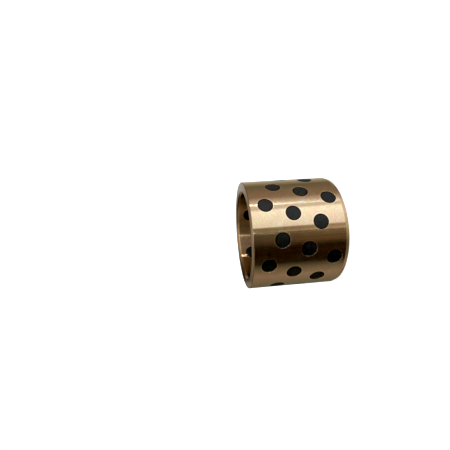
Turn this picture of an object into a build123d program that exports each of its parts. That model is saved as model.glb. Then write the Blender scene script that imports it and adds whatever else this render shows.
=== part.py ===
from build123d import *
from math import radians, tan
import os

# A graphite plugged bushing: a turned bronze sleeve whose wall is drilled right through in
# a staggered pattern, with a solid graphite plug in every hole. The plugs are dressed flush
# with the outside and with the bore, so they rub dry lubricant onto the shaft.
#
# Millimetres. +Z runs along the bore and the origin is the centre of the bottom end face,
# on which the bushing stands.

# Sleeve
bore_diameter = 40.0
wall_thickness = 5.0
sleeve_length = 40.0
bore_chamfer = 0.85  # 45 degree chamfer at each mouth of the bore
lead_in_length = 1.6  # taper round the bottom end, which goes into the housing first
lead_in_angle = 20.0  # degrees between the taper and the outside
edge_break = 0.2  # 45 degree break of the outer edge at the top end

# Plugs
plug_diameter = 6.4
plugs_per_ring = 6
first_ring_height = 6.2  # from the bottom end face to the middle of the lowest ring
last_ring_margin = 6.0  # least distance from the middle of the highest ring to the top
ring_pitch = 5.45  # rise from one ring to the next
ring_turn = 35.0  # degrees that each ring is turned against the ring below it

bore_radius = bore_diameter / 2
outer_radius = bore_radius + wall_thickness
lead_in_depth = lead_in_length * tan(radians(lead_in_angle))
plug_radius = plug_diameter / 2
ring_count = 1 + int((sleeve_length - first_ring_height - last_ring_margin) / ring_pitch)


def turned_blank():
    """The sleeve as it leaves the lathe: the section of its wall, turned round the axis."""
    section = Polyline(
        (bore_radius, bore_chamfer),
        (bore_radius + bore_chamfer, 0),
        (outer_radius - lead_in_depth, 0),
        (outer_radius, lead_in_length),
        (outer_radius, sleeve_length - edge_break),
        (outer_radius - edge_break, sleeve_length),
        (bore_radius + bore_chamfer, sleeve_length),
        (bore_radius, sleeve_length - bore_chamfer),
        close=True,
    )
    return revolve(Plane.XZ * make_face(section), Axis.Z)


def radial_rod():
    """A rod along +X, thick as a plug and longer than the wall on both sides."""
    inner_end = bore_radius - plug_radius
    outer_end = outer_radius + plug_radius
    rod = Cylinder(plug_radius, outer_end - inner_end, rotation=(0, 90, 0))
    return Pos((inner_end + outer_end) / 2, 0, 0) * rod


def flush_plug():
    """One plug along +X: the rod's length inside the wall, curved like the wall at both ends."""
    wall_height = 2 * plug_diameter
    wall = Cylinder(outer_radius, wall_height) - Cylinder(bore_radius, wall_height)
    return radial_rod() & wall


def plug_places():
    """The place and turn of every plug, ring by ring from the bottom end up."""
    for ring in range(ring_count):
        height = first_ring_height + ring * ring_pitch
        for step in range(plugs_per_ring):
            turn = ring * ring_turn + step * 360 / plugs_per_ring
            yield Pos(0, 0, height) * Rot(0, 0, turn)


places = list(plug_places())
hole_cutter = radial_rod()
sleeve = turned_blank() - [place * hole_cutter for place in places]
plug = flush_plug()

os.makedirs("parts", exist_ok=True)
export_step(sleeve, "parts/sleeve.step")
for number, place in enumerate(places, start=1):
    export_step(place * plug, f"parts/graphite_plug_{number:02d}.step")
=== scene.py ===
import math
import random

import bpy
from mathutils import Matrix, Vector
from mathutils.geometry import delaunay_2d_cdt


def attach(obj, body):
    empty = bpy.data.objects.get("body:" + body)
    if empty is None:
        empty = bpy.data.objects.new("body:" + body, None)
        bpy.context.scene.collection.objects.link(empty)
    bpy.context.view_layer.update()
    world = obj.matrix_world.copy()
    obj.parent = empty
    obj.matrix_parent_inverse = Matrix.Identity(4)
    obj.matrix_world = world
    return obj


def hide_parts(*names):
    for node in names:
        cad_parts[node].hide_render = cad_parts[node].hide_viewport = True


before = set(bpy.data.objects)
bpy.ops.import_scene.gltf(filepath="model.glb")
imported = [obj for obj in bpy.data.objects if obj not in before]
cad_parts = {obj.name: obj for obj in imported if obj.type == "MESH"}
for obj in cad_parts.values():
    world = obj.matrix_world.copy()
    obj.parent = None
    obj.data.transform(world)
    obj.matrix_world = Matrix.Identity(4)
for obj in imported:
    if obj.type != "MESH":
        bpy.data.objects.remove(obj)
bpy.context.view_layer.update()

# A graphite plugged bushing: a turned bronze sleeve with solid graphite plugs through its wall. It stands on
# its end with +Z along the bore, and the camera is rolled by a quarter turn, so that it lies in the picture.
# The meshes are made in millimetres and scaled to metres. Angles are in degrees.

# ---------------------------------------------------------------- sizes, as in the CAD
MM = 0.001
LENGTH = 40.0
OUTER = 25.0
BORE = 20.0
BORE_CHAMFER = 0.85
LEAD_IN = 1.6
LEAD_IN_DEPTH = LEAD_IN * math.tan(math.radians(20))
EDGE_BREAK = 0.2
PLUG = 3.2
RINGS = 6
PER_RING = 6
FIRST_RING = 6.2
RING_PITCH = 5.45
RING_TURN = 35.0
PLUG_STEP = 360.0 / PER_RING

# ---------------------------------------------------------------- finer detail and mesh density
EDGE = 0.1              # rounding of the turned edges
BORE_EDGE = 0.3         # rounding where the chamfer meets the bore
HOLE_EDGE = 0.07        # rounding of the bronze edge round a plug
PLUG_GAP = 0.004        # between a plug and its hole
PLUG_SINK = 0.015       # how far a plug lies below the bronze
PLUG_WEAR = 0.085       # how far a plug's rim is worn back, on average
PLUG_WEAR_VARIES = 0.03
HOLE_POINTS = 72        # points round a hole and round a plug
THETA_STEP = 1.5        # degrees between points round the sleeve
ROW_STEP = 0.9          # between rows of points along the sleeve
SIDE_ROWS = 40          # points along the side of a sector
SIDE_MARGIN = 2.5       # of those points from the ends of the sleeve


# ---------------------------------------------------------------- mesh helpers
class Shell:
    """Points with one normal each, welded by position, and faces on them. A point's rim says how near it is
    to the edge of a plug, from 0 to 1; the materials paint a highlight on the bronze and shade on the
    graphite there."""

    def __init__(self):
        self.points, self.normals, self.rims, self.faces, self.index = [], [], [], [], {}

    def point(self, p, n, rim=0.0):
        key = (round(p[0], 5), round(p[1], 5), round(p[2], 5))
        if key not in self.index:
            self.index[key] = len(self.points)
            self.points.append(p)
            self.normals.append(Vector(n).normalized())
            self.rims.append(rim)
        return self.index[key]

    def face(self, *corners):
        ring = [c for i, c in enumerate(corners) if c != corners[i - 1]]
        if len(ring) > 2:
            self.faces.append(ring)

    def strip(self, low, high, closed=True):
        """Quads between two rows of point numbers."""
        count = len(low)
        for i in range(count if closed else count - 1):
            j = (i + 1) % count
            self.face(low[i], low[j], high[j], high[i])

    def make(self, name, material):
        mesh = bpy.data.meshes.new(name)
        mesh.from_pydata([[c * MM for c in p] for p in self.points], [], self.faces)
        mesh.validate()
        # every face looks the way its points' normals do
        for poly in mesh.polygons:
            mean = sum((self.normals[v] for v in poly.vertices), Vector())
            if poly.normal.dot(mean) < 0:
                poly.flip()
        mesh.update()
        mesh.polygons.foreach_set("use_smooth", [True] * len(mesh.polygons))
        mesh.normals_split_custom_set_from_vertices([tuple(n) for n in self.normals])
        mesh.attributes.new("rim", "FLOAT", "POINT").data.foreach_set("value", self.rims)
        mesh.materials.append(material)
        obj = bpy.data.objects.new(name, mesh)
        bpy.context.scene.collection.objects.link(obj)
        return obj


def turn(p, degrees):
    a = math.radians(degrees)
    return (p[0] * math.cos(a) - p[1] * math.sin(a), p[0] * math.sin(a) + p[1] * math.cos(a), p[2])


def on_cylinder(radius, u, v, degrees, height):
    """The point of a cylinder round Z at the offsets u, v from a radial axis at that angle and height."""
    return turn((math.sqrt(radius * radius - u * u), u, height + v), degrees)


def column(z):
    """The angle of the helical line through the plugs at height z."""
    return RING_TURN / RING_PITCH * (z - FIRST_RING)


def hole_edge_rows(shell, radius, outward, degrees, height, steps=3):
    """Rows of points from the surface, over a rounded edge, to the wall of one hole. outward is 1 for the
    outside of the sleeve and -1 for the bore."""
    rows = []
    for k in range(steps + 1):
        a = math.radians(90 * k / steps)
        hole = PLUG + HOLE_EDGE * (1 - math.sin(a))
        level = radius - outward * HOLE_EDGE * (1 - math.cos(a))
        row = []
        for i in range(HOLE_POINTS):
            phi = 2 * math.pi * i / HOLE_POINTS
            u, v = hole * math.cos(phi), hole * math.sin(phi)
            x = math.sqrt(level * level - u * u)
            face = Vector((x, u, 0)).normalized() * outward
            wall = Vector((0, -math.cos(phi), -math.sin(phi)))
            normal = face * math.cos(a) + wall * math.sin(a)
            row.append(shell.point(on_cylinder(level, u, v, degrees, height), turn(normal, degrees), 1.0))
        rows.append(row)
    return rows


def drilled_surface(shell, radius, outward, low, high):
    """One cylinder face of the sleeve, with the openings of its holes, as six like sectors. A sector's two
    sides run midway between the helical columns of plugs. Each sector is unrolled and triangulated."""
    arc = math.radians(1) * radius
    opening = PLUG + HOLE_EDGE
    count = int(round(PLUG_STEP / THETA_STEP))

    def side(z):
        return column(z) - PLUG_STEP / 2

    inner_length = LENGTH - 2 * SIDE_MARGIN
    levels = [SIDE_MARGIN + i * inner_length / SIDE_ROWS for i in range(SIDE_ROWS + 1)]
    angle_at = {low: side(0), high: side(LENGTH)}
    places, points, edge = [], [], []

    def add(theta, z, rim=0.0):
        places.append((theta, z, rim))
        points.append(Vector((theta * arc, z)))
        return len(points) - 1

    for i in range(count + 1):
        edge.append(add(angle_at[low] + i * THETA_STEP, low))
    for z in levels:
        edge.append(add(side(z) + PLUG_STEP, z))
    for i in range(count, -1, -1):
        edge.append(add(angle_at[high] + i * THETA_STEP, high))
    for z in reversed(levels):
        edge.append(add(side(z), z))
    centres = [(RING_TURN * ring, FIRST_RING + RING_PITCH * ring) for ring in range(RINGS)]
    lines = []
    # rings of points round each hole: how far out, how many, and how much they belong to its rim
    rings = ((opening, HOLE_POINTS, 1.0), (opening + 0.3, 54, 1.0),
             (opening + 0.6, 48, 0.0), (opening + 0.95, 36, 0.0))
    clear_of_rings = opening + 1.2
    for theta, z in centres:
        for reach, number, rim in rings:
            ring = []
            for i in range(number):
                phi = 2 * math.pi * i / number
                u, v = reach * math.cos(phi), reach * math.sin(phi)
                ring.append(add(theta + math.degrees(math.asin(u / radius)), z + v, rim))
            if reach == opening:
                lines += [(ring[i], ring[(i + 1) % number]) for i in range(number)]
    rows = int((high - low) / ROW_STEP)
    for k in range(1, rows):
        z = low + (high - low) * k / rows
        shift = THETA_STEP / 2 * (k % 2)
        for i in range(1, count):
            theta = side(z) + i * THETA_STEP + shift
            x = theta * arc
            if i == count - 1 and shift:
                continue
            if min(math.hypot(x - t * arc, z - h) for t, h in centres) > clear_of_rings:
                add(theta, z)
    _, _, triangles, sources, *_ = delaunay_2d_cdt(points, lines, [edge], 1, 1e-6)
    found = [places[source[0]] for source in sources]
    kept = []
    for tri in triangles:
        theta, z = (sum(found[v][axis] for v in tri) / 3 for axis in (0, 1))
        inside = any((radius * math.sin(math.radians(theta - t))) ** 2 + (z - h) ** 2 < (opening - 0.004) ** 2
                     and abs(theta - t) < 30 for t, h in centres)
        if not inside:
            kept.append(tri)
    for step in range(PER_RING):
        here = []
        for theta, z, rim in found:
            a = math.radians(theta + PLUG_STEP * step)
            c, s = math.cos(a), math.sin(a)
            here.append(((radius * c, radius * s, z), (outward * c, outward * s, 0), rim))
        numbers = {}
        for tri in kept:
            for v in tri:
                if v not in numbers:
                    numbers[v] = shell.point(*here[v])
            shell.face(*[numbers[v] for v in tri])


def rounded_profile(corners, radii, steps=3):
    """(r, z, normal r, normal z) along a profile whose corners are rounded, each by its own radius. It is
    walked with the metal on the right."""
    out = []
    for (x0, y0), (x1, y1), (x2, y2), radius in zip(corners, corners[1:], corners[2:], radii):
        first, second = math.atan2(y1 - y0, x1 - x0), math.atan2(y2 - y1, x2 - x1)
        bend = (second - first + math.pi) % (2 * math.pi) - math.pi
        reach = radius * math.tan(abs(bend) / 2)
        side = 1 if bend < 0 else -1      # the metal is on the right, so an outer corner turns right
        x, y = x1 - reach * math.cos(first), y1 - reach * math.sin(first)
        cx, cy = x + side * radius * math.sin(first), y - side * radius * math.cos(first)
        for k in range(steps + 1):
            a = first + bend * k / steps
            nx, ny = -math.sin(a), math.cos(a)
            out.append((cx + side * radius * nx, cy + side * radius * ny, nx, ny))
    return out


def ring_of(shell, r, z, nr, nz, start):
    row = []
    for i in range(int(round(360 / THETA_STEP))):
        a = math.radians(start + i * THETA_STEP)
        row.append(shell.point((r * math.cos(a), r * math.sin(a), z),
                               (nr * math.cos(a), nr * math.sin(a), nz)))
    return row


def make_sleeve(material):
    shell = Shell()
    # each end, walked from the outside to the bore
    bottom = [(OUTER, LEAD_IN + 1), (OUTER, LEAD_IN), (OUTER - LEAD_IN_DEPTH, 0.0),
              (BORE + BORE_CHAMFER, 0.0), (BORE, BORE_CHAMFER), (BORE, BORE_CHAMFER + 1)]
    top = [(OUTER, EDGE_BREAK + 1), (OUTER, EDGE_BREAK), (OUTER - EDGE_BREAK, 0.0),
           (BORE + BORE_CHAMFER, 0.0), (BORE, BORE_CHAMFER), (BORE, BORE_CHAMFER + 1)]
    meets = []
    for corners, up, base in ((bottom, 1, 0), (top, -1, LENGTH)):
        profile = rounded_profile(corners, (EDGE, EDGE, EDGE, BORE_EDGE))
        rows = [ring_of(shell, r, base + up * z, nr, up * nz, column(base) - PLUG_STEP / 2)
                for r, z, nr, nz in profile]
        for low, high in zip(rows, rows[1:]):
            shell.strip(low, high)
        meets.append((base + up * profile[0][1], base + up * profile[-1][1]))
    drilled_surface(shell, OUTER, 1, meets[0][0], meets[1][0])
    drilled_surface(shell, BORE, -1, meets[0][1], meets[1][1])
    for ring in range(RINGS):
        for step in range(PER_RING):
            degrees, height = RING_TURN * ring + PLUG_STEP * step, FIRST_RING + RING_PITCH * ring
            outside = hole_edge_rows(shell, OUTER, 1, degrees, height)
            inside = hole_edge_rows(shell, BORE, -1, degrees, height)
            for rows in (outside, inside):
                for low, high in zip(rows, rows[1:]):
                    shell.strip(low, high)
            shell.strip(outside[-1], inside[-1])
    return shell.make("bronze_sleeve", material)


def make_plug(number, degrees, height, material, rng):
    """One plug: a rod trimmed to the outside and to the bore, a touch below the bronze, with a worn rim."""
    shell = Shell()
    radius = PLUG - PLUG_GAP
    phases = [rng.uniform(0, 2 * math.pi) for _ in range(6)]

    def wear(phi, seed):
        """How far the rim is worn back at this angle."""
        w = sum(math.sin(k * phi + phases[(k + seed) % 6]) / k for k in (2, 3, 5, 7, 11))
        return PLUG_WEAR + PLUG_WEAR_VARIES * w

    rims = []
    for surface, outward, seed in ((OUTER, 1, 0), (BORE, -1, 3)):
        level = surface - outward * PLUG_SINK
        rows = []
        for k in range(4):
            a = math.radians(90 * k / 3)
            row = []
            for i in range(HOLE_POINTS):
                phi = 2 * math.pi * i / HOLE_POINTS
                w = wear(phi, seed)
                rho = radius - w * (1 - math.sin(a))
                deep = level - outward * w * 0.8 * (1 - math.cos(a))
                u, v = rho * math.cos(phi), rho * math.sin(phi)
                x = math.sqrt(deep * deep - u * u)
                face = Vector((x, u, 0)).normalized() * outward
                side = Vector((0, math.cos(phi), math.sin(phi)))
                normal = face * math.cos(a) + side * math.sin(a)
                row.append(shell.point(on_cylinder(deep, u, v, degrees, height), turn(normal, degrees), 1.0))
            rows.append(row)
        for low, high in zip(rows, rows[1:]):
            shell.strip(low, high)
        # the cap, in rings that close on a small middle face
        last = rows[0]
        edge = [wear(2 * math.pi * i / HOLE_POINTS, seed) for i in range(HOLE_POINTS)]
        for share, rim in ((0.93, 0.9), (0.86, 0.0), (0.7, 0.0), (0.52, 0.0), (0.34, 0.0), (0.16, 0.0)):
            row = []
            for i in range(HOLE_POINTS):
                phi = 2 * math.pi * i / HOLE_POINTS
                rho = share * (radius - edge[i])
                u, v = rho * math.cos(phi), rho * math.sin(phi)
                x = math.sqrt(level * level - u * u)
                row.append(shell.point(on_cylinder(level, u, v, degrees, height),
                                       turn(Vector((x, u, 0)) * outward, degrees), rim))
            shell.strip(last, row)
            last = row
        middle = shell.point(on_cylinder(level, 0, 0, degrees, height), turn((outward, 0, 0), degrees))
        for i in range(HOLE_POINTS):
            shell.face(last[i], last[(i + 1) % HOLE_POINTS], middle)
        rims.append(rows[-1])
    shell.strip(rims[0], rims[1])
    return shell.make("plug_%02d" % number, material)


# ---------------------------------------------------------------- materials
class Nodes:
    """A short way to write a node tree."""

    def __init__(self, tree):
        self.tree = tree
        tree.nodes.clear()

    def add(self, kind, inputs=None, **settings):
        node = self.tree.nodes.new(kind)
        for key, value in settings.items():
            setattr(node, key, value)
        for key, value in (inputs or {}).items():
            socket = node.inputs[key]
            if isinstance(value, bpy.types.NodeSocket):
                self.tree.links.new(value, socket)
            else:
                socket.default_value = value
        return node

    def math(self, operation, *values, clamp=False):
        node = self.add("ShaderNodeMath", {i: v for i, v in enumerate(values)}, operation=operation)
        node.use_clamp = clamp
        return node.outputs[0]

    def noise(self, vector, scale, detail=2.0, roughness=0.5, distortion=0.0):
        return self.add("ShaderNodeTexNoise", {
            "Vector": vector, "Scale": scale, "Detail": detail, "Roughness": roughness,
            "Distortion": distortion}).outputs["Fac"]

    def ramp(self, fac, stops, interpolation="LINEAR"):
        node = self.add("ShaderNodeValToRGB", {"Fac": fac})
        ramp = node.color_ramp
        ramp.interpolation = interpolation
        while len(ramp.elements) < len(stops):
            ramp.elements.new(0.5)
        for element, (position, colour) in zip(ramp.elements, stops):
            element.position = position
        for element, (position, colour) in zip(ramp.elements, stops):
            element.color = (*colour, 1.0)
        return node.outputs["Color"]

    def remap(self, value, low, high, to_low, to_high):
        return self.add("ShaderNodeMapRange", {"Value": value, "From Min": low, "From Max": high,
                                               "To Min": to_low, "To Max": to_high}).outputs["Result"]

    def times(self, a, b):
        return self.math("MULTIPLY", a, b)

    def band(self, value, rise, full, fall, end):
        """1 from full to fall, and 0 below rise and past end."""
        return self.times(self.remap(value, rise, full, 0.0, 1.0), self.remap(value, fall, end, 1.0, 0.0))

    def mix(self, fac, a, b, blend="MIX"):
        node = self.add("ShaderNodeMix", data_type="RGBA", blend_type=blend)
        for socket, value in zip((node.inputs[0], node.inputs[6], node.inputs[7]), (fac, a, b)):
            if isinstance(value, bpy.types.NodeSocket):
                self.tree.links.new(value, socket)
            elif isinstance(value, tuple):
                socket.default_value = (*value, 1.0)
            else:
                socket.default_value = value
        return node.outputs[2]


def turned_coordinates(n):
    """The place on the object in millimetres, its x, y and z, and its distance from the axis."""
    place = n.add("ShaderNodeVectorMath", {0: n.add("ShaderNodeTexCoord").outputs["Object"],
                                           1: (1000.0, 1000.0, 1000.0)}, operation="MULTIPLY").outputs[0]
    parts = n.add("ShaderNodeSeparateXYZ", {0: place})
    x, y, z = parts.outputs
    r = n.math("SQRT", n.math("ADD", n.times(x, x), n.times(y, y)))
    return place, x, y, z, r


def bronze_material():
    material = bpy.data.materials.new("bronze")
    material.use_nodes = True
    n = Nodes(material.node_tree)
    place, x, y, z, r = turned_coordinates(n)
    # lathe lines: fast across the cut (height, and radius on the end faces), slow round the part
    across = n.add("ShaderNodeCombineXYZ", {0: n.times(x, 0.02), 1: n.times(y, 0.02),
                                            2: n.math("ADD", z, r)}).outputs[0]
    lines = n.noise(across, 6.0, 3.0, 0.6)
    bands = n.noise(across, 1.1, 1.0, 0.5)
    cloud = n.noise(place, 0.55, 3.0, 0.6)
    blotch = n.noise(place, 0.16, 2.0, 0.55, 0.4)
    warm = n.noise(place, 0.42, 2.0, 0.5, 0.3)
    grain = n.noise(place, 1.5, 2.0, 0.6)
    speck = n.noise(place, 2.6, 1.0, 0.6)
    pale = n.noise(place, 0.2, 2.0, 0.5, 0.2)
    rim = n.add("ShaderNodeAttribute", attribute_name="rim").outputs["Fac"]
    # cast bronze is uneven: yellower and pinker clouds, darker blotches, and grain
    tint = n.mix(n.remap(warm, 0.36, 0.64, 0.0, 1.0), (0.79, 0.515, 0.345), (0.75, 0.575, 0.32))
    tint = n.mix(n.remap(pale, 0.55, 0.72, 0.0, 0.8), tint, (0.76, 0.62, 0.43))
    tint = n.mix(n.remap(blotch, 0.5, 0.75, 0.0, 0.5), tint, (0.70, 0.45, 0.29))
    tint = n.mix(n.remap(grain, 0.5, 0.75, 0.0, 0.55), tint, (0.62, 0.41, 0.25))
    tint = n.mix(n.remap(speck, 0.52, 0.74, 0.0, 0.7), tint, (0.90, 0.66, 0.46))
    # painted highlight: the bronze is tinted lighter round each plug, for the bright ring that its edge shows
    tint = n.mix(n.times(rim, 0.9), tint, (0.89, 0.63, 0.42))
    # the bore is left rougher from its boring bar
    inside = n.remap(r, BORE + 0.2, BORE + 0.6, 1.0, 0.0)
    rough = n.math("ADD", n.remap(cloud, 0.3, 0.7, 0.12, 0.15), n.remap(lines, 0.3, 0.7, -0.01, 0.02))
    rough = n.math("ADD", rough, n.times(inside, 0.07))
    height = n.math("ADD", lines, n.times(bands, 0.6))
    bump = n.add("ShaderNodeBump", {"Strength": 0.25, "Distance": 0.00001, "Height": height})
    tangent = n.add("ShaderNodeTangent", direction_type="RADIAL", axis="Z")
    shader = n.add("ShaderNodeBsdfPrincipled", {
        "Base Color": tint, "Metallic": 1.0, "Roughness": rough, "Anisotropic": 1.0,
        "Anisotropic Rotation": 0.25, "Tangent": tangent.outputs[0], "Normal": bump.outputs[0]})
    n.add("ShaderNodeOutputMaterial", {"Surface": shader.outputs[0]})
    return material


def graphite_material():
    material = bpy.data.materials.new("graphite")
    material.use_nodes = True
    n = Nodes(material.node_tree)
    place, x, y, z, _ = turned_coordinates(n)
    # the lines that the dressing cut leaves in the plugs too
    across = n.add("ShaderNodeCombineXYZ", {0: n.times(x, 0.05), 1: n.times(y, 0.05), 2: z}).outputs[0]
    lines = n.noise(across, 5.0, 2.0, 0.6)
    grain = n.noise(place, 1.5, 2.0, 0.6)
    spots = n.noise(place, 9.0, 2.0, 0.6)
    drift = n.noise(place, 0.05, 1.0, 0.5)
    rim = n.add("ShaderNodeAttribute", attribute_name="rim").outputs["Fac"]
    base = n.mix(n.remap(drift, 0.42, 0.58, 0.0, 1.0), (0.032, 0.027, 0.028), (0.026, 0.029, 0.025))
    base = n.mix(n.remap(grain, 0.36, 0.64, 1.0, 0.0), base, (0.012, 0.0115, 0.011))
    # painted shade: the graphite is darkened to black at its rim, for the shade in the groove round each plug
    base = n.mix(n.times(rim, 0.95), base, (0.0, 0.0, 0.0))
    rough = n.math("ADD", n.remap(spots, 0.3, 0.7, 0.32, 0.44), n.remap(lines, 0.3, 0.7, -0.03, 0.03))
    rough = n.math("ADD", rough, n.times(rim, 0.4))
    # dull where it is seen at a low angle
    facing = n.add("ShaderNodeLayerWeight", {"Blend": 0.5}).outputs["Facing"]
    rough = n.math("ADD", rough, n.remap(facing, 0.2, 0.6, 0.0, 0.34))
    bump = n.add("ShaderNodeBump", {"Strength": 0.8, "Distance": 0.00006, "Height": grain})
    shader = n.add("ShaderNodeBsdfPrincipled", {
        "Base Color": base, "Roughness": rough, "IOR": 1.25, "Specular IOR Level": 1.0,
        "Specular Tint": (1.0, 0.86, 0.82, 1.0), "Normal": bump.outputs[0]})
    n.add("ShaderNodeOutputMaterial", {"Surface": shader.outputs[0]})
    return material


# ---------------------------------------------------------------- camera
EYE = Vector((-6.601, -141.832, 61.385)) * MM
FORWARD = Vector((0.084493, 0.992268, -0.090912)).normalized()
PICTURE_UP = Vector((0.993429, -0.090956, -0.069465))
FOCAL_PIXELS = 300.581
PICTURE_PIXELS = 450

camera = bpy.data.objects.new("camera", bpy.data.cameras.new("camera"))
bpy.context.scene.collection.objects.link(camera)
right = FORWARD.cross(PICTURE_UP).normalized()
up = right.cross(FORWARD)
axes = Matrix((right, up, -FORWARD)).transposed()
camera.matrix_world = Matrix.Translation(EYE) @ axes.to_4x4()
camera.data.sensor_width = 36.0
camera.data.lens = 36.0 * FOCAL_PIXELS / PICTURE_PIXELS
camera.data.clip_start, camera.data.clip_end = 0.01, 50.0
bpy.context.scene.camera = camera

# ---------------------------------------------------------------- the bushing
bronze = bronze_material()
graphite = graphite_material()
sleeve = make_sleeve(bronze)
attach(sleeve, "root")
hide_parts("sleeve")
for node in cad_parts.values():
    node.data.materials.clear()
    node.data.materials.append(bronze if node.name == "sleeve" else graphite)

rng = random.Random(7)
for ring in range(RINGS):
    for step in range(PER_RING):
        number = ring * PER_RING + step + 1
        degrees, height = RING_TURN * ring + PLUG_STEP * step, FIRST_RING + RING_PITCH * ring
        plug = make_plug(number, degrees, height, graphite, rng)
        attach(plug, "root")
        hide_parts("graphite_plug_%02d" % number)

# ---------------------------------------------------------------- floor, card and lamps
def staged_sheet(name, corners, material):
    """A flat four-cornered sheet that isn't part of the object."""
    mesh = bpy.data.meshes.new(name)
    mesh.from_pydata(corners, [], [(0, 1, 2, 3)])
    mesh.materials.append(material)
    obj = bpy.data.objects.new(name, mesh)
    bpy.context.scene.collection.objects.link(obj)
    return obj


def paper_material():
    material = bpy.data.materials.new("paper")
    material.use_nodes = True
    n = Nodes(material.node_tree)
    shade = n.add("ShaderNodeBsdfDiffuse", {"Color": (0.9, 0.9, 0.9, 1.0)})
    glow = n.add("ShaderNodeEmission", {"Color": (1.0, 1.0, 1.0, 1.0), "Strength": 0.8})
    both = n.add("ShaderNodeAddShader", {0: shade.outputs[0], 1: glow.outputs[0]})
    n.add("ShaderNodeOutputMaterial", {"Surface": both.outputs[0]})
    return material


def felt_material():
    """Black, and fading to clear at the card's two sides."""
    material = bpy.data.materials.new("felt")
    material.use_nodes = True
    n = Nodes(material.node_tree)
    x = n.add("ShaderNodeSeparateXYZ", {0: n.add("ShaderNodeTexCoord").outputs["Object"]}).outputs[0]
    solid = n.band(x, -0.030, -0.0265, -0.012, 0.0)
    black = n.add("ShaderNodeBsdfDiffuse", {"Color": (0.01, 0.008, 0.005, 1.0)})
    clear = n.add("ShaderNodeBsdfTransparent")
    both = n.add("ShaderNodeMixShader", {0: solid, 1: clear.outputs[0], 2: black.outputs[0]})
    n.add("ShaderNodeOutputMaterial", {"Surface": both.outputs[0]})
    return material


FLOOR_HALF = 30
FLOOR_LEVEL = -0.00002
floor = staged_sheet("floor", [(x * FLOOR_HALF, y * FLOOR_HALF, FLOOR_LEVEL)
                               for x, y in ((-1, -1), (1, -1), (1, 1), (-1, 1))], paper_material())
floor.visible_glossy = floor.visible_diffuse = False

# a dark card behind the top end, which only the metal sees
card = staged_sheet("card", [(-0.031, 0.06, 0.0402), (0.0, 0.06, 0.0402),
                             (0.0, 0.06, 0.0485), (-0.031, 0.06, 0.0525)], felt_material())
card.visible_camera = card.visible_diffuse = card.visible_shadow = False

CAMERA_SIDE = -92.7     # the camera's direction from the part, seen from above


def lamp(name, energy, width, round_part, height):
    """A soft far light, at degrees round the part from the camera's side and degrees above the floor. Mirror
    reflections leave it out."""
    light = bpy.data.objects.new(name, bpy.data.lights.new(name, "SUN"))
    light.data.energy = energy
    light.data.angle = math.radians(width)
    a, h = math.radians(CAMERA_SIDE + round_part), math.radians(height)
    from_there = Vector((math.cos(a) * math.cos(h), math.sin(a) * math.cos(h), math.sin(h)))
    light.rotation_euler = from_there.to_track_quat("Z", "Y").to_euler()
    light.visible_glossy = False
    bpy.context.scene.collection.objects.link(light)


lamp("overhead", 0.5, 80, 0, 90)
lamp("window_light", 2.1, 30, 52, 5)
lamp("back_light", 2.2, 40, 180, 15)

# ---------------------------------------------------------------- the room that the metal mirrors
# the room that the metal reflects, in five plain linear colours
WINDOW = (0.8, 0.8, 0.8)
PALE = (0.5, 0.5, 0.4)
WALL = (0.3, 0.25, 0.2)
SHADE = (0.15, 0.15, 0.1)
DARK = (0.01, 0.01, 0.005)
# A list for each of three heights: degrees round the part from the camera's side, towards +X, and colour.
# First what the outside faces, a little below the part.
SURROUNDINGS = [
    (-180, WINDOW),     # far window
    (-175, WINDOW),
    (-170, SHADE),
    (-140, SHADE),
    (-100, WALL),       # side wall
    (-80, SHADE),
    (-65, DARK),        # unlit corner
    (-30, DARK),
    (0, SHADE),
    (11, SHADE),
    (12, WINDOW),       # near window
    (65, WINDOW),
    (80, WALL),         # wall beyond it
    (120, SHADE),
    (150, PALE),
    (170, PALE),
    (175, WINDOW),
    (180, WINDOW),
]
# well below the part: what the tapered end faces
BELOW = [
    (-180, PALE),
    (-100, WALL),
    (-75, SHADE),
    (-45, SHADE),
    (0, PALE),
    (60, WINDOW),
    (90, WINDOW),
    (130, SHADE),
    (180, PALE),
]
# and above it: what the bore and its chamfer face
ABOVE = [
    (-180, WALL),
    (-160, SHADE),
    (-120, SHADE),
    (-90, WALL),
    (-60, SHADE),
    (-45, DARK),
    (0, SHADE),
    (5, PALE),
    (30, WINDOW),
    (60, PALE),
    (65, WALL),
    (130, WALL),
    (160, SHADE),
    (180, WALL),
]


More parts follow.
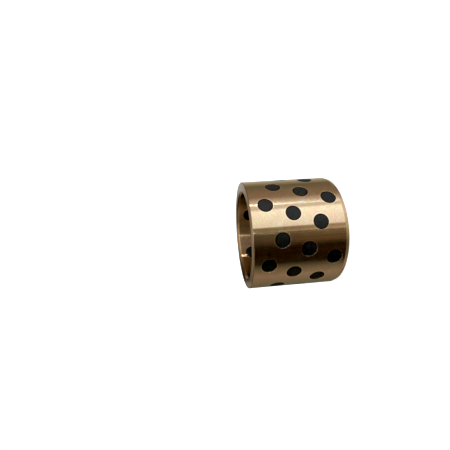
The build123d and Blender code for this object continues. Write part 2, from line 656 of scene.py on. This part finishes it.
def studio_world():
    """A white backdrop for the camera, a dim one for matt surfaces, and the room for reflections. dz is the
    height of a direction, from -1 straight down to 1 straight up."""
    world = bpy.data.worlds.new("studio")
    world.use_nodes = True
    n = Nodes(world.node_tree)
    direction = n.add("ShaderNodeSeparateXYZ", {0: n.add("ShaderNodeTexCoord").outputs["Generated"]})
    rays = n.add("ShaderNodeLightPath")
    bounces = rays.outputs["Glossy Depth"]
    dx, dy, dz = direction.outputs
    turned = n.math("SUBTRACT", n.math("ARCTAN2", dy, dx), math.radians(CAMERA_SIDE))
    around = n.math("FRACT", n.math("ADD", n.math("DIVIDE", turned, 2 * math.pi), 0.5))
    degrees = n.times(n.math("SUBTRACT", around, 0.5), 360.0)

    def walls(stops):
        return n.ramp(around, [((a + 180) / 360, colour) for a, colour in stops])

    def rise(value, low, high):
        return n.remap(value, low, high, 0.0, 1.0)

    # the near window, whose far side leans, and beside it a lamp
    level = walls(SURROUNDINGS)
    far_side = n.remap(dz, -0.2, -0.45, 48.0, 53.0)
    window = n.times(rise(degrees, 11.0, 12.0),
                     n.remap(n.math("SUBTRACT", degrees, far_side), -2.0, 2.0, 1.0, 0.0))
    window = n.times(window, n.remap(degrees, 12.0, 42.0, 0.4, 1.0))
    level = n.mix(window, level, (0.5, 0.7, 0.8), "ADD")
    level = n.mix(n.band(degrees, 60.0, 61.0, 62.0, 63.0), level, (0.5, 1.0, 1.5), "ADD")
    # the dark side: streaks, and lighter low down
    dark_side = n.band(degrees, -70.0, -50.0, -4.0, 0.0)
    place = n.add("ShaderNodeCombineXYZ", {0: n.times(degrees, 0.22), 1: n.times(dz, 3.0)}).outputs[0]
    streaks = n.times(n.times(dark_side, n.remap(dz, -0.22, -0.34, 0.35, 1.0)),
                      rise(n.noise(place, 1.0, 2.0, 0.5), 0.45, 0.58))
    level = n.mix(streaks, level, (2.5, 1.5, 1.0), "MULTIPLY")
    level = n.mix(n.times(dark_side, rise(dz, -0.4, -0.2)), level, (0.5, 0.5, 0.5), "MULTIPLY")
    # a lighter sill low down next to the window, with a rail on it
    sill, rail = n.band(degrees, 0.0, 4.0, 11.0, 12.4), n.band(degrees, 0.6, 1.8, 3.4, 4.6)
    lower = rise(dz, -0.22, -0.45)
    level = n.mix(n.times(sill, lower), level, WALL, "ADD")
    level = n.mix(n.times(rail, lower), level, WALL, "ADD")
    seen = n.mix(rise(dz, -0.68, -0.82), level, walls(BELOW))

    # above: a pale patch low behind the part, and a light ceiling
    above = walls(ABOVE)
    patch = n.band(degrees, 165.0, 168.0, 171.0, 174.0)
    above = n.mix(n.times(patch, n.remap(dz, 0.16, 0.19, 1.0, 0.0)), above, (0.2, 0.25, 0.3), "ADD")
    ceiling = n.band(degrees, -110.0, -90.0, 10.0, 30.0)
    above = n.mix(n.times(ceiling, rise(dz, 0.35, 0.45)), above, PALE, "ADD")
    # a leaning upper slot of the window and the upper half of the lamp, in a first reflection only
    leaning = n.math("SUBTRACT", degrees, n.remap(dz, 0.10, 0.30, -4.0, 4.0))
    slot = n.times(n.band(leaning, 0.7, 1.5, 2.5, 3.3), rise(dz, 0.10, 0.14))
    upper_lamp = n.times(n.remap(degrees, 58.8, 59.6, 0.0, 1.3), n.remap(degrees, 62.4, 63.2, 1.0, 0.0))
    bars = n.times(n.math("ADD", slot, upper_lamp), n.remap(dz, 0.24, 0.30, 1.0, 0.0))
    bars = n.times(bars, n.remap(bounces, 1.0, 2.0, 1.0, 0.0))
    above = n.mix(bars, above, (20.0, 20.0, 20.0), "ADD")
    seen = n.mix(rise(dz, -0.05, 0.02), seen, above)
    # dark corners behind the part, and the dark ridge and pale top of the ceiling
    behind = rise(n.math("ABSOLUTE", degrees), 85.0, 115.0)
    seen = n.mix(n.times(behind, rise(dz, 0.3, 0.45)), seen, (0.20, 0.15, 0.10), "MULTIPLY")
    ridge = n.mix(rise(dx, -0.25, 0.12), DARK, WALL)
    seen = n.mix(rise(dz, 0.70, 0.92), seen, ridge)
    seen = n.mix(rise(dz, 0.95, 0.99), seen, WALL)
    # a lamp over the camera, which the turned edges catch
    crest = n.times(rise(dy, -0.24, -0.34), rise(dz, 0.55, 0.70))
    seen = n.mix(crest, seen, (1.0, 0.9, 0.8), "ADD")
    # the picture's black point is above zero, and this gives the darkest tones back what it takes
    seen = n.mix(1.0, seen, (0.01, 0.01, 0.02), "ADD")
    # light that has gone to and fro inside the bore is let fade
    seen = n.mix(n.remap(bounces, 1.0, 3.0, 0.0, 0.75), seen, (0.0, 0.0, 0.0))

    room = n.add("ShaderNodeBackground", {"Color": seen, "Strength": 1.0})
    dim = n.add("ShaderNodeBackground", {"Color": (0.1, 0.2, 0.2, 1.0), "Strength": 1.0})
    white = n.add("ShaderNodeBackground", {"Color": (1.0, 1.0, 1.0, 1.0), "Strength": 1.05})
    both = n.add("ShaderNodeMixShader", {0: rays.outputs["Is Diffuse Ray"], 1: room.outputs[0],
                                         2: dim.outputs[0]})
    both = n.add("ShaderNodeMixShader", {0: rays.outputs["Is Camera Ray"], 1: both.outputs[0],
                                         2: white.outputs[0]})
    n.add("ShaderNodeOutputWorld", {"Surface": both.outputs[0]})
    return world


bpy.context.scene.world = studio_world()

# ---------------------------------------------------------------- the picture's tones
view = bpy.context.scene.view_settings
view.view_transform = "Standard"
view.use_curve_mapping = True
view.curve_mapping.black_level = (0.01, 0.01, 0.01)
